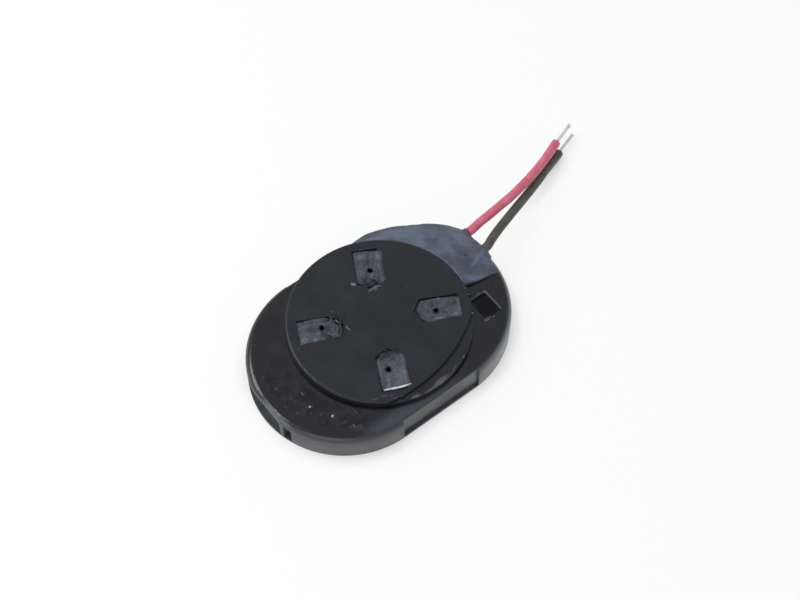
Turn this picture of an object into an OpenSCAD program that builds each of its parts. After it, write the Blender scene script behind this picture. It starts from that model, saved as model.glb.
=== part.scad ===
// Oval micro loudspeaker with a round back cap and two short leads, in millimetres.
// It lies on its sound face: the frame's front rim is at z = 0 and the back faces up.
// +X runs along the oval towards the leads. The origin is under the middle of the full oval.

/* [Frame] */
// Length of the full oval, before the end flat is taken off
frame_l = 20; // [19.5:0.1:24]
// Width over the two long sides
frame_w = 13.9; // [13.7:0.1:16.8]
// Height from the sound face to the back face
frame_h = 2.3; // [2:0.01:2.6]
// Rounding of the back edge
edge_r = 0.5; // [0.1:0.05:0.5]
// What the flat takes off the end away from the leads
end_cut = 0.2; // [0.1:0.05:0.4]
// Wall between the front pocket and the two round ends
end_wall = 1; // [0.95:0.05:1.3]
// Wall between the front pocket and the two long sides
side_wall = 0.7; // [0.6:0.05:0.9]
// Thickness of the back web that carries the motor
web_t = 0.5; // [0.45:0.01:0.6]
// Width of the ledge that the diaphragm is clamped on
ledge_w = 0.6; // [0.5:0.05:0.72]

/* [Relief of the outer wall] */
// Height of the foot that keeps the full oval under every relief
foot_h = 0.2; // [0.15:0.05:0.3]
// Length of the relief in each long side
side_slot_l = 6.6; // [4:0.1:7]
// Depth of the relief in each long side
side_slot_d = 0.2; // [0.15:0.05:0.3]
// Middle of that relief along the oval
side_slot_x = 0.12; // [-0.3:0.01:0.3]
// Thickness of the lip left over the end undercut
end_lip = 0.6; // [0.35:0.05:0.7]
// Depth of the end undercut
end_slot_d = 0.45; // [0.3:0.05:0.5]
// Length of the end undercut along the flat
end_slot_l = 5; // [3.8:0.1:5]
// How far the end undercut's round inner wall bows outwards
end_slot_bow = 0.15; // [0.05:0.05:0.15]
// Width of the rib that divides the end undercut
end_rib_w = 0.35; // [0.25:0.05:0.5]
// Place of that rib along the flat
end_rib_y = -1.7; // [-1.7:0.05:1.7]

/* [Back face] */
// Depth of the pocket beside the leads
lead_pocket_depth = 0.36; // [0.2:0.01:0.36]
// Length of the pocket beside the leads
lead_pocket_l = 1.5; // [1:0.1:1.5]
// Width of the pocket beside the leads
lead_pocket_w = 2; // [1.4:0.1:2]
// From the end by the leads to the middle of that pocket
lead_pocket_in = 2.92; // [2.9:0.01:3]
// Place of that pocket across the oval
lead_pocket_y = -3.09; // [-3.2:0.01:-3]
// Depth of the pocket at the flat end
flat_pocket_depth = 0.12; // [0.08:0.01:0.3]
// Length of the pocket at the flat end
flat_pocket_l = 1.3; // [1:0.1:1.4]
// Width of the pocket at the flat end
flat_pocket_w = 1.9; // [1.4:0.1:2.2]
// From the end flat to the middle of that pocket
flat_pocket_in = 1.57; // [1.4:0.01:1.6]
// Place of that pocket across the oval
flat_pocket_y = 0.41; // [-0.5:0.01:0.5]
// Corner radius of both pockets
pocket_corner = 0.25; // [0.1:0.05:0.4]
// Diameter of the four vents through the web
vent_d = 1; // [0.7:0.05:1.2]

/* [Terminal] */
// Thickness of the web left under the terminal recess
terminal_floor = 0.2; // [0.15:0.01:0.25]
// From the end of the oval to the terminal board
board_in = 0.85; // [0.8:0.01:0.9]
// Length of the terminal board
board_l = 1.95; // [1.7:0.05:2]
// Width of the terminal board
board_w = 3.3; // [3.1:0.1:3.5]
// Thickness of the terminal board
board_t = 0.15; // [0.1:0.01:0.18]
// Thickness of its copper pads
pad_t = 0.03; // [0.02:0.01:0.04]
// Width of each copper pad
pad_w = 1.2; // [1.1:0.05:1.5]
// From the board's outer edge to the middle of the solder joints
solder_in = 1.05; // [1:0.01:1.1]
// Radius of a solder joint's foot
solder_r = 0.55; // [0.45:0.01:0.58]
// Height of a solder joint over its pad
solder_h = 0.42; // [0.38:0.01:0.5]
// From the middle of a solder joint to its coil wire
leadout_in = 0.35; // [0.3:0.01:0.4]
// Diameter of the coil's wires
leadout_d = 0.08; // [0.05:0.01:0.1]
// Diameter of the holes that those wires pass through the web by
leadout_hole_d = 0.4; // [0.2:0.05:0.45]
// Middle of the terminal across the oval
terminal_y = 1.5; // [1.3:0.05:1.5]
// Distance between the two leads where they leave the frame
lead_pitch = 1.8; // [1.6:0.05:1.9]

/* [Back cap] */
// Diameter of the round cap
cap_d = 13.3; // [12.5:0.1:13.5]
// How far the cap stands above the back face
cap_h = 0.6; // [0.5:0.01:0.75]
// Thickness of its top skin
cap_skin = 0.4; // [0.35:0.01:0.45]
// Thickness of its foot ring
cap_wall = 0.5; // [0.35:0.05:0.6]
// Rounding of its rim
rim_r = 0.22; // [0.1:0.02:0.3]
// How far the motor and the cap sit off the oval's middle, towards the leads
motor_x = 0.22; // [0:0.02:0.3]
// The same across the oval
motor_y = 0.34; // [0:0.02:0.44]
// Drop of the crescent ledge on the near side
crescent_drop = 0.2; // [0.1:0.01:0.22]
// Width of the crescent at its widest
crescent_w = 0.95; // [0.8:0.05:1.3]
// Radius of the crescent's step
crescent_r = 11; // [9:0.5:25]
// Direction of the crescent from the cap's axis, in degrees
crescent_turn = -76; // [-90:1:-60]

/* [Windows in the cap] */
// Depth of each window below the cap's face
window_depth = 0.16; // [0.13:0.01:0.28]
// Width of each window
window_w = 1.85; // [1.4:0.05:2.2]
// Rim left between the cap's edge and a window's outer end
window_rim = 0.85; // [0.7:0.05:1.1]
// Distance from the axis to the window's pointed inner end
window_in = 2.45; // [2:0.05:3]
// Length of the pointed part
window_point = 0.55; // [0.2:0.05:0.8]
// How far a window's middle sits off its pin-hole, sideways
window_off = 0.16; // [0:0.02:0.2]
// Gap between the yoke and the edge of the pin-holes
pin_gap = 0.13; // [0.1:0.01:0.4]
// Diameter of the pin-holes
pin_d = 0.65; // [0.5:0.01:0.7]
// Direction of the first window, in degrees
window_turn = 62; // [50:1:70]
// Thickness of the damping cloths
cloth_t = 0.07; // [0.04:0.01:0.12]

/* [Motor] */
// Diameter of the magnet
magnet_d = 5.2; // [4.6:0.05:5.3]
// Thickness of the magnet
magnet_t = 0.75; // [0.7:0.01:0.78]
// Diameter of the top plate
plate_d = 5.4; // [5.3:0.05:5.5]
// Thickness of the top plate
plate_t = 0.3; // [0.25:0.01:0.32]
// Running gap between the top plate and the coil
inner_gap = 0.1; // [0.08:0.01:0.14]
// Running gap between the coil and the yoke
outer_gap = 0.15; // [0.1:0.01:0.16]
// Wall of the yoke cup
yoke_wall = 0.4; // [0.3:0.01:0.42]
// Base of the yoke cup
yoke_base = 0.25; // [0.2:0.01:0.26]

/* [Coil and diaphragm] */
// Radial thickness of the coil's winding
coil_t = 0.25; // [0.18:0.01:0.26]
// Height of the coil's winding
coil_h = 0.8; // [0.7:0.01:0.84]
// Thickness of the dome
dome_t = 0.04; // [0.03:0.005:0.05]
// Rise of the dome towards the sound face
dome_rise = 0.12; // [0.05:0.01:0.14]
// Width of the dome's flat rim, inwards from the coil's outer face
dome_flange = 0.35; // [0.3:0.01:0.5]
// Thickness of the surround's film
film_t = 0.04; // [0.03:0.005:0.05]
// How far the film's inner edge laps over the dome's rim
film_lap = 0.2; // [0.1:0.01:0.25]
// Flat left between the coil and the half roll
roll_gap = 0.05; // [0.02:0.01:0.2]
// Rise of the surround's half roll
roll_rise = 0.2; // [0.1:0.01:0.22]

/* [Front cover] */
// Thickness of the pressed cover
cover_t = 0.2; // [0.15:0.01:0.22]
// Height of the cover's skirt
skirt_h = 0.4; // [0.32:0.01:0.44]
// Diameter of the sound holes
sound_d = 1; // [0.6:0.05:1.2]
// Distance between the sound holes
sound_pitch = 2; // [1.7:0.05:2.2]
// Thickness of the dust mesh behind the sound holes
mesh_t = 0.05; // [0.03:0.005:0.06]

/* [Leads and sealant] */
// Diameter of a lead over its insulation
lead_d = 0.7; // [0.5:0.01:0.72]
// Diameter of a lead's tinned core
core_d = 0.26; // [0.2:0.01:0.3]
// Height of the sealant over the back face
sealant_h = 0.52; // [0.4:0.01:0.6]

/* [Hidden] */
$fn = 64;

eps = 0.01;
fit = 0.03;        // gap round the pieces that drop into a pocket
glue_gap = 0.02;   // gap that a glued round seat is filled over
board_gap = 0.15;  // room round the terminal board
solder_grip = 0.15;  // how far a wire reaches into its solder joint
leadout_rise = 0.1;  // height on the coil at which its wires leave

// Heights, counted up from the sound face
cap_top = frame_h + cap_h;
skin_z = cap_top - cap_skin;
magnet_top = skin_z - yoke_base;
plate_top = magnet_top - magnet_t;
plate_z = plate_top - plate_t;
coil_z = plate_z + (plate_t - coil_h) / 2;
ledge_z = coil_z - dome_t;
film_z = ledge_z - film_t;
web_z = frame_h - web_t;
terminal_z = web_z + terminal_floor;
pad_top = terminal_z + board_t + pad_t;
lead_z = terminal_z + lead_d / 2;

// Radii about the motor's axis
coil_ir = plate_d / 2 + inner_gap;
coil_or = coil_ir + coil_t;
yoke_ir = coil_or + outer_gap;
yoke_or = yoke_ir + yoke_wall;
cap_r = cap_d / 2;
window_out = cap_r - window_rim;
pin_reach = yoke_or + pin_gap + pin_d / 2;
vent_reach = (yoke_or + cap_r - cap_wall) / 2;

// Outlines
end_r = frame_w / 2;
end_x = frame_l / 2 - end_r;
flat_x = end_cut - frame_l / 2;
pocket_l = frame_l - 2 * end_wall;
pocket_w = frame_w - 2 * side_wall;
roll_ir = coil_or + roll_gap;

// Terminal places
board_end = frame_l / 2 - board_in;
recess_x = board_end - board_l - board_gap;
solder_x = board_end - solder_in;
leadout_x = solder_x - leadout_in;
leadout_z = coil_z + leadout_rise;
lead_y = [terminal_y + lead_pitch / 2, terminal_y - lead_pitch / 2];

// Routes of the leads: past the frame's end, sideways from the exit, share of the exit's height.
// The last two points are bare core.
red_route = [
    [-0.8, 0, 1], [0.2, 0, 1], [1.2, 0.16, 0.99], [2.3, 0.31, 0.94], [3.4, 0.49, 0.89],
    [4.5, 0.67, 0.83], [5.7, 0.94, 0.77], [7, 1.28, 0.7], [8.4, 1.74, 0.61],
    [9.7, 2.26, 0.51], [10.9, 2.79, 0.43], [11.9, 3.17, 0.37], [13, 3.6, 0.31]
];
black_route = [
    [-0.8, 0, 1], [0.2, 0, 1], [1, 0.35, 0.95], [2, 0.76, 0.87], [3, 1.14, 0.77],
    [4.2, 1.59, 0.64], [5.3, 2.01, 0.5], [6.5, 2.45, 0.38], [7.7, 2.91, 0.27],
    [8.8, 3.35, 0.2], [9.9, 3.76, 0.1], [10.9, 4.14, 0.04], [11.9, 4.51, 0.02], [12.9, 4.82, 0.02]
];
bare_points = 2;

function unit(v) = v / norm(v);
function heading(path, i) = unit(path[min(i + 1, len(path) - 1)] - path[max(i - 1, 0)]);
function reversed(list) = [for (i = [len(list) - 1:-1:0]) list[i]];
function first(list, count) = [for (i = [0:count - 1]) list[i]];

// Points of a route in the part's own frame
function laid(route, exit_y) = [
    for (p = route) [frame_l / 2 + p.x, exit_y + p.y, lead_d / 2 + (lead_z - lead_d / 2) * p.z]
];

// Eight-sided rings round each point of a path that runs mostly level
function rings_round(path, d, sides = 8) = [
    for (i = [0:len(path) - 1])
        let (t = heading(path, i), side = unit(cross([0, 0, 1], t)), up = cross(t, side))
            [
                for (k = [0:sides - 1])
                    let (a = 360 * k / sides) path[i] + d / 2 * (cos(a) * side + sin(a) * up)
            ]
];

// Distance from the middle of an oval to its outline in one direction
function oval_reach(length, width, turn) =
    let (r = width / 2, c = length / 2 - r, x = abs(cos(turn)), y = abs(sin(turn)))
        y > 0 && r * x / y < c ? r / y : c * x + sqrt(max(0, r * r - c * c * y * y));

// The same from the motor's axis to the frame's outline, on the side of the leads
function frame_reach(turn) =
    let (
        c = end_x - motor_x,
        side = (end_r - motor_y) / max(sin(turn), eps),
        x = cos(turn) * c - sin(turn) * motor_y
    )
        sin(turn) > 0 && side * cos(turn) < c ? side
            : x + sqrt(x * x - c * c - motor_y * motor_y + end_r * end_r);

// Solid skin over a list of rings. A loop of rings closes on itself, an open list gets two end faces.
module skin(rings, loop = false) {
    count = len(rings);
    sides = len(rings[0]);
    last = loop ? count - 1 : count - 2;
    walls = [
        for (i = [0:last]) for (k = [0:sides - 1])
            let (a = i * sides, b = (i + 1) % count * sides, n = (k + 1) % sides)
                each [[a + k, b + k, b + n], [a + k, b + n, a + n]]
    ];
    ends = loop ? [] : [
        [for (k = [0:sides - 1]) k],
        [for (k = [sides - 1:-1:0]) (count - 1) * sides + k]
    ];
    polyhedron(points = [for (r = rings) each r], faces = concat(walls, ends), convexity = 6);
}

// Half of an upright section: flat foot, straight wall and a rounded top edge
module half_section(r, height, edge) {
    square([r - edge, height]);
    square([r, height - edge]);
    if (edge > 0)
        translate([r - edge, height - edge])
            circle(edge, $fn = 32);
}

// Oval block: straight between two round ends, with an optional rounded top edge
module oval(length, width, height, edge = 0) {
    reach = (length - width) / 2;
    for (side = [-1, 1])
        translate([side * reach, 0, 0])
            rotate_extrude()
                half_section(width / 2, height, edge);
    rotate([90, 0, 90])
        linear_extrude(2 * reach, center = true) {
            half_section(width / 2, height, edge);
            mirror([1, 0])
                half_section(width / 2, height, edge);
        }
}

module oval_ring(length, width, wall, height) {
    difference() {
        oval(length, width, height);
        translate([0, 0, -eps])
            oval(length - 2 * wall, width - 2 * wall, height + 2 * eps);
    }
}

module rounded_block(size, r) {
    linear_extrude(size.z) {
        square([size.x - 2 * r, size.y], center = true);
        square([size.x, size.y - 2 * r], center = true);
        for (x = [-1, 1], y = [-1, 1])
            translate([x * (size.x / 2 - r), y * (size.y / 2 - r)])
                circle(r, $fn = 32);
    }
}

module on_motor() {
    translate([motor_x, motor_y, 0])
        children();
}

module at_windows() {
    on_motor()
        for (i = [0:3])
            rotate(window_turn + 90 * i)
                children();
}

module ring_body(ir, or, height) {
    rotate_extrude()
        translate([ir, 0])
            square([or - ir, height]);
}

// ---- frame ----

module front_pocket() {
    translate([0, 0, -eps])
        oval(pocket_l, pocket_w, ledge_z + eps);
    oval(pocket_l - 2 * ledge_w, pocket_w - 2 * ledge_w, web_z);
}

// Both reliefs are open at the back and stop on the foot
module side_slots() {
    for (side = [-1, 1])
        translate([side_slot_x, side * end_r, foot_h + frame_h / 2])
            cube([side_slot_l, 2 * side_slot_d, frame_h], center = true);
}

// The undercut between the lip and the foot follows a round inner wall, and one rib crosses it
module end_slot() {
    inner_r = end_r - end_cut;
    slot_h = frame_h - end_lip - foot_h;
    translate([0, 0, foot_h])
        difference() {
            translate([flat_x - eps, -end_slot_l / 2, 0])
                cube([end_slot_d + eps, end_slot_l, slot_h]);
            translate([flat_x + end_slot_d - end_slot_bow + inner_r, 0, -eps])
                cylinder(r = inner_r, h = slot_h + 2 * eps);
            translate([flat_x - 2 * eps, end_rib_y - end_rib_w / 2, -eps])
                cube([end_slot_d + 4 * eps, end_rib_w, slot_h + 2 * eps]);
        }
}

module end_flat() {
    big = frame_w;
    translate([flat_x - big, -big / 2, foot_h])
        cube([big, big, frame_h]);
    translate([flat_x, -big / 2, frame_h - edge_r / 2])
        rotate([0, -45, 0])
            cube([edge_r, big, edge_r]);
}

module back_pockets() {
    translate([frame_l / 2 - lead_pocket_in, lead_pocket_y, frame_h - lead_pocket_depth])
        rounded_block([lead_pocket_l, lead_pocket_w, 1], pocket_corner);
    translate([flat_x + flat_pocket_in, flat_pocket_y, frame_h - flat_pocket_depth])
        rounded_block([flat_pocket_l, flat_pocket_w, 1], pocket_corner);
}

module terminal_recess(room = 0) {
    translate([recess_x + room, terminal_y - board_w / 2 - board_gap + room, terminal_z])
        cube([frame_l / 2 - recess_x + 1, board_w + 2 * board_gap - 2 * room, frame_h - terminal_z + 1]);
}

module leadout_holes(d, z, height) {
    for (y = lead_y)
        translate([leadout_x, y, z])
            cylinder(d = d, h = height, $fn = 32);
}

module frame() {
    color("#24252a")
        difference() {
            oval(frame_l, frame_w, frame_h, edge_r);
            end_flat();
            front_pocket();
            side_slots();
            end_slot();
            back_pockets();
            terminal_recess();
            leadout_holes(leadout_hole_d, web_z - eps, web_t);
            on_motor()
                translate([0, 0, web_z - eps])
                    cylinder(r = yoke_or + glue_gap, h = web_t + 1);
            at_windows()
                translate([vent_reach, 0, web_z - eps])
                    cylinder(d = vent_d, h = web_t + 1, $fn = 32);
        }
}

// ---- sound face ----

// A shallow tray. Its middle is left whole, so twelve sound holes stand round a plain centre
module front_cover() {
    l = pocket_l - 2 * fit;
    w = pocket_w - 2 * fit;
    color("#8d9094")
        difference() {
            oval(l, w, skirt_h);
            translate([0, 0, cover_t])
                oval(l - 2 * cover_t, w - 2 * cover_t, skirt_h);
            for (row = [-1:1], i = [-2:2])
                if (abs(row) + abs(i) > 0 && abs(row) + abs(i) < 3)
                    translate([i * sound_pitch, row * sound_pitch, -eps])
                        cylinder(d = sound_d, h = cover_t + 2 * eps, $fn = 32);
        }
}

module dust_mesh() {
    skirt_gap = 0.1;
    margin = 2 * (fit + cover_t + skirt_gap);
    color("#3a3a3c")
        translate([0, 0, cover_t])
            oval(pocket_l - margin, pocket_w - margin, mesh_t);
}

module diaphragm_ring() {
    color("#b08d57")
        translate([0, 0, skirt_h])
            oval_ring(pocket_l - 2 * fit, pocket_w - 2 * fit, ledge_w, film_z - skirt_h);
}

// ---- diaphragm and coil ----

// One film: a flat inner edge on the dome, a half roll, and a flat outer edge on the ledge.
// Each ring blends from the round inner edge to the oval outer edge.
module surround() {
    turns = 72;
    roll_steps = 8;
    rim_l = pocket_l - 2 * fit;
    rim_w = pocket_w - 2 * fit;
    flat_l = rim_l - 2 * ledge_w - 2 * fit;
    flat_w = rim_w - 2 * ledge_w - 2 * fit;
    function at(turn, reach, z) = [reach * cos(turn), reach * sin(turn), z];
    function round_ring(r, z) = [
        for (k = [0:turns - 1]) [motor_x, motor_y, 0] + at(360 * k / turns, r, z)
    ];
    function oval_line(l, w, z) = [
        for (k = [0:turns - 1]) let (a = 360 * k / turns) at(a, oval_reach(l, w, a), z)
    ];
    function blend(s, z) =
        let (a = round_ring(roll_ir, z), b = oval_line(flat_l, flat_w, z)) (1 - s) * a + s * b;
    function sheet(z) = concat(
        [round_ring(coil_or - film_lap, z)],
        [for (i = [0:roll_steps]) let (s = i / roll_steps) blend(s, z - roll_rise * sin(180 * s))],
        [oval_line(rim_l, rim_w, z)]
    );
    color("#c9b27a")
        skin(concat(sheet(film_z), reversed(sheet(film_z + film_t))), loop = true);
}

module dome() {
    steps = 10;
    crown_r = coil_or - dome_flange;
    function rise(r) = ledge_z - dome_rise * (1 - pow(r / crown_r, 2));
    front = [for (i = [0:steps]) let (r = crown_r * i / steps) [r, rise(r)]];
    back = [for (i = [steps:-1:0]) let (r = crown_r * i / steps) [r, rise(r) + dome_t]];
    color("#d8dadd")
        on_motor()
            rotate_extrude()
                polygon(concat(front, [[coil_or, ledge_z], [coil_or, ledge_z + dome_t]], back));
}

module voice_coil() {
    color("#b4622d")
        on_motor()
            translate([0, 0, coil_z])
                ring_body(coil_ir, coil_or, coil_h);
}

// Fine wire from the coil's side to its solder joint, through the web and the board
module coil_leadout(exit_y) {
    start_x = motor_x + sqrt(pow(coil_or, 2) - pow(exit_y - motor_y, 2)) + leadout_d;
    color("#c06a33") {
        translate([start_x, exit_y, leadout_z])
            rotate([0, 90, 0])
                cylinder(d = leadout_d, h = leadout_x - start_x, $fn = 24);
        translate([leadout_x, exit_y, leadout_z])
            sphere(d = leadout_d, $fn = 24);
        translate([leadout_x, exit_y, leadout_z])
            cylinder(d = leadout_d, h = pad_top + solder_grip - leadout_z, $fn = 24);
    }
}

// ---- motor ----

module top_plate() {
    color("#a9adb1")
        on_motor()
            translate([0, 0, plate_z])
                cylinder(d = plate_d, h = plate_t);
}

module magnet() {
    color("#6e7175")
        on_motor()
            translate([0, 0, plate_top])
                cylinder(d = magnet_d, h = magnet_t);
}

module yoke() {
    color("#9a9da1")
        on_motor()
            difference() {
                translate([0, 0, plate_z])
                    cylinder(r = yoke_or, h = skin_z - plate_z);
                translate([0, 0, plate_z - eps])
                    cylinder(r = yoke_ir, h = magnet_top - plate_z + eps);
            }
}

// ---- back cap ----

// A window points at the axis. trim leaves the same room round every side of a cloth
module window_outline(trim = 0) {
    half = window_w / 2 - trim;
    point_angle = atan2(window_w / 2, window_point);
    translate([0, window_off])
        polygon([
            [window_in + trim / sin(point_angle), 0],
            [window_in + window_point, -half],
            [window_out - trim, -half],
            [window_out - trim, half],
            [window_in + window_point, half]
        ]);
}

module crescent() {
    turn = [cos(crescent_turn), sin(crescent_turn), 0];
    translate([0, 0, cap_top - crescent_drop])
        difference() {
            cylinder(r = cap_r + 1, h = 1);
            translate((cap_r - crescent_w - crescent_r) * turn - [0, 0, eps])
                cylinder(r = crescent_r, h = 1 + 2 * eps, $fn = 128);
        }
}

module back_cap() {
    color("#2d2f34")
        difference() {
            on_motor()
                difference() {
                    translate([0, 0, frame_h])
                        rotate_extrude()
                            half_section(cap_r, cap_h, rim_r);
                    translate([0, 0, frame_h - eps])
                        cylinder(r = cap_r - cap_wall, h = cap_h - cap_skin + eps);
                    crescent();
                }
            at_windows()
                translate([0, 0, cap_top - window_depth])
                    linear_extrude(1)
                        window_outline();
            at_windows()
                translate([pin_reach, 0, skin_z - eps])
                    cylinder(d = pin_d, h = cap_skin, $fn = 32);
        }
}

module vent_cloth(number) {
    edge_gap = 0.05;
    color("#5b6266")
        on_motor()
            rotate(window_turn + 90 * (number - 1))
                translate([0, 0, cap_top - window_depth])
                    difference() {
                        linear_extrude(cloth_t)
                            window_outline(edge_gap);
                        translate([pin_reach, 0, -eps])
                            cylinder(d = pin_d - edge_gap, h = cloth_t + 2 * eps, $fn = 32);
                    }
}

// ---- terminal ----

module terminal_board() {
    color("#3f6b4b")
        difference() {
            translate([board_end - board_l, terminal_y - board_w / 2, terminal_z])
                cube([board_l, board_w, board_t]);
            leadout_holes(2 * leadout_d, terminal_z - eps, board_t + 2 * eps);
        }
}

module copper_pads() {
    margin = 0.15;  // bare board left at both ends of a pad
    color("#c98a4b")
        difference() {
            for (y = lead_y)
                translate([board_end - board_l + margin, y - pad_w / 2, pad_top - pad_t])
                    cube([board_l - 2 * margin, pad_w, pad_t]);
            leadout_holes(2 * leadout_d, pad_top - pad_t - eps, pad_t + 2 * eps);
        }
}

module solder_body(exit_y, room = 0) {
    steps = 8;
    r = solder_r + room;
    h = solder_h + room;
    mound = [for (i = [0:steps]) let (a = 90 * i / steps) [r * cos(a), h * sin(a)]];
    translate([solder_x, exit_y, pad_top])
        rotate_extrude()
            polygon(concat([[0, 0]], mound));
}

module solder_joint(exit_y) {
    color("#c4c7cb")
        difference() {
            solder_body(exit_y);
            translate([solder_x - solder_grip, exit_y, lead_z])
                rotate([0, 90, 0])
                    cylinder(d = core_d, h = 2 * solder_r, $fn = 32);
            translate([leadout_x, exit_y, pad_top - eps])
                cylinder(d = leadout_d, h = solder_grip + eps, $fn = 24);
        }
}

// ---- leads ----

// Insulation is a hollow tube, closed between its outer and inner rings at both ends
module insulation(route, exit_y) {
    path = first(laid(route, exit_y), len(route) - bare_points);
    skin(concat(rings_round(path, lead_d), reversed(rings_round(path, core_d + glue_gap))), loop = true);
}

// The core runs on from the solder joint to the bare end
module core(route, exit_y) {
    start = [solder_x - solder_grip, exit_y, lead_z];
    skin(rings_round(concat([start], laid(route, exit_y)), core_d));
}

// ---- sealant ----

// A bead poured along the cap from the terminal, thick over the leads and thin at both ends
module sealant_bead() {
    start_turn = -13;
    end_turn = 73;
    steps = 22;
    thin = 0.12;     // height and width of the bead where it thins out
    tail = 0.72;     // share of the length at which the thin tail begins
    tail_h = 0.3;    // height of the tail, as a share of the full height
    overhang = 0.35; // how far the bead runs out past its plain edge at the leads
    edge_in = 0.4;   // plain edge: this share of the frame's rounding, inwards from the outline
    profile = [[0, 0], [0, 0.85], [0.3, 0.97], [0.6, 1], [0.85, 0.75], [1, 0.3], [1, 0]];
    inner_r = cap_r + glue_gap;
    function swell(s) = 0.16 + 0.84 * pow(sin(180 * min(1, s * 1.15 + 0.16)), 0.7);
    function height(s) = max(thin, sealant_h * (s > tail ? tail_h : swell(s / 0.9)));
    function reach(s, a) = max(
        inner_r + thin,
        frame_reach(a) - edge_in * edge_r + overhang * pow(sin(180 * min(1, s * 1.8)), 2)
    );
    function section(s) =
        let (a = start_turn + (end_turn - start_turn) * s, h = height(s), out = reach(s, a))
            [
                for (p = profile)
                    let (r = inner_r + (out - inner_r) * p[0])
                        [motor_x + r * cos(a), motor_y + r * sin(a), frame_h + h * p[1]]
            ];
    skin([for (i = [0:steps]) section(i / steps)]);
}

module sealant() {
    color("#5c6878")
        difference() {
            union() {
                sealant_bead();
                intersection() {
                    terminal_recess(fit);
                    translate([end_x, 0, 0])
                        cylinder(r = end_r, h = frame_h + eps);
                }
            }
            for (y = lead_y) {
                translate([board_end, y, lead_z])
                    rotate([0, 90, 0])
                        cylinder(d = lead_d + 2 * glue_gap, h = 3, $fn = 32);
                translate([solder_x, y, lead_z])
                    rotate([0, 90, 0])
                        cylinder(d = core_d + glue_gap, h = board_end - solder_x + eps, $fn = 32);
                solder_body(y, glue_gap);
            }
            translate([0, terminal_y - board_w / 2 - glue_gap, 0])
                cube([board_end + glue_gap, board_w + 2 * glue_gap, pad_top]);
        }
}

frame();
front_cover();
dust_mesh();
diaphragm_ring();
surround();
dome();
voice_coil();
coil_leadout(lead_y[0]);  // coil_leadout_red
coil_leadout(lead_y[1]);  // coil_leadout_black
top_plate();
magnet();
yoke();
back_cap();
vent_cloth(1);  // vent_cloth_1
vent_cloth(2);  // vent_cloth_2
vent_cloth(3);  // vent_cloth_3
vent_cloth(4);  // vent_cloth_4
terminal_board();
copper_pads();
solder_joint(lead_y[0]);  // solder_joint_red
solder_joint(lead_y[1]);  // solder_joint_black
sealant();
color("#c8506a") insulation(red_route, lead_y[0]);  // red_insulation
color("#d5d7da") core(red_route, lead_y[0]);  // red_core
color("#3c3c3a") insulation(black_route, lead_y[1]);  // black_insulation
color("#d5d7da") core(black_route, lead_y[1]);  // black_core
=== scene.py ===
import random
from math import cos, exp, hypot, pi, radians, sin, sqrt

import bmesh
import bpy
import numpy as np
from mathutils import Matrix, Vector, geometry, noise


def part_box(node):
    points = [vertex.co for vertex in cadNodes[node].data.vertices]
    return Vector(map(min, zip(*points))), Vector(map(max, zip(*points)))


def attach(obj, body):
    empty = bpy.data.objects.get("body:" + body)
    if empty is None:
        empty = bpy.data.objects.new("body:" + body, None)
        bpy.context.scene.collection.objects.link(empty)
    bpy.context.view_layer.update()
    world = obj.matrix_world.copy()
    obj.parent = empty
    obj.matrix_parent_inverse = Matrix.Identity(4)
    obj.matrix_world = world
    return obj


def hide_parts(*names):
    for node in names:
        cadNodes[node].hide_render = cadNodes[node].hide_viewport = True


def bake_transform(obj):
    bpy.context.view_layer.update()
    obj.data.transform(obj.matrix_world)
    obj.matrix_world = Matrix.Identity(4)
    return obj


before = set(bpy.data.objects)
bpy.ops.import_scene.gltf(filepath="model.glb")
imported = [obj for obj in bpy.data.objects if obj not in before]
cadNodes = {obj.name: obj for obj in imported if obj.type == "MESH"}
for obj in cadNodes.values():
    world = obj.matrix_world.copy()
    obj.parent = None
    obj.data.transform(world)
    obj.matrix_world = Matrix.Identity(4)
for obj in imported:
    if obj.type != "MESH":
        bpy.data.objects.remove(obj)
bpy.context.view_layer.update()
random.seed(11)
mm = 0.001
print("frame loaded:", len(cadNodes), "nodes")


def linked(name, data):
    made = bpy.data.objects.new(name, data)
    bpy.context.scene.collection.objects.link(made)
    return made


# the places everything else is worked out from, in millimetres
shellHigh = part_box("frame")[1] / mm
capLow, capHigh = (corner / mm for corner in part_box("back_cap"))
shellTop, capTop = shellHigh.z, capHigh.z
capRadius = (capHigh.x - capLow.x) / 2
motorX, motorY = (capHigh.x + capLow.x) / 2, (capHigh.y + capLow.y) / 2
endRadius = shellHigh.y
endX = shellHigh.x - endRadius
windowTurn = 62
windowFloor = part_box("vent_cloth_1")[0].z / mm
pinReach = 4.06


# camera, lamps and table

cameraSetup = {
    "aim": (3.379, 2.032, 0), "distance": 112.99, "azimuth": -37.73, "elevation": 59.18, "lens": 69.9,
}
lampSetup = {
    # name: place, aim, size, watts
    "windowLamp": ((-60, 70, 110), (0, 0, 0), 90, 0.085),
    "fillLamp": ((-90, -60, 70), (0, 0, 0), 90, 0.02),
}
tableSetup = {
    "reach": 900, "top": -0.01, "colour": (0.95, 0.95, 0.95, 1),
    "glow": 0.82, "white": 1.03, "mirrored": 0.8, "contact": 1.1,
}
worldSetup = {"soft": (0.93, 0.96, 1, 1), "strength": 0.5}


def pointAt(thing, place, aim):
    thing.location = Vector(place) * mm
    thing.rotation_euler = (Vector(aim) - Vector(place)).to_track_quat("-Z", "Y").to_euler()


def makeCamera(setup):
    azimuth, elevation = radians(setup["azimuth"]), radians(setup["elevation"])
    level = cos(elevation)
    back = Vector((sin(azimuth) * level, -cos(azimuth) * level, sin(elevation)))
    data = bpy.data.cameras.new("camera")
    data.lens, data.sensor_width = setup["lens"], 36
    data.clip_start, data.clip_end = 0.001, 5
    camera = linked("camera", data)
    pointAt(camera, Vector(setup["aim"]) + back * setup["distance"], setup["aim"])
    bpy.context.scene.camera = camera


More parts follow.
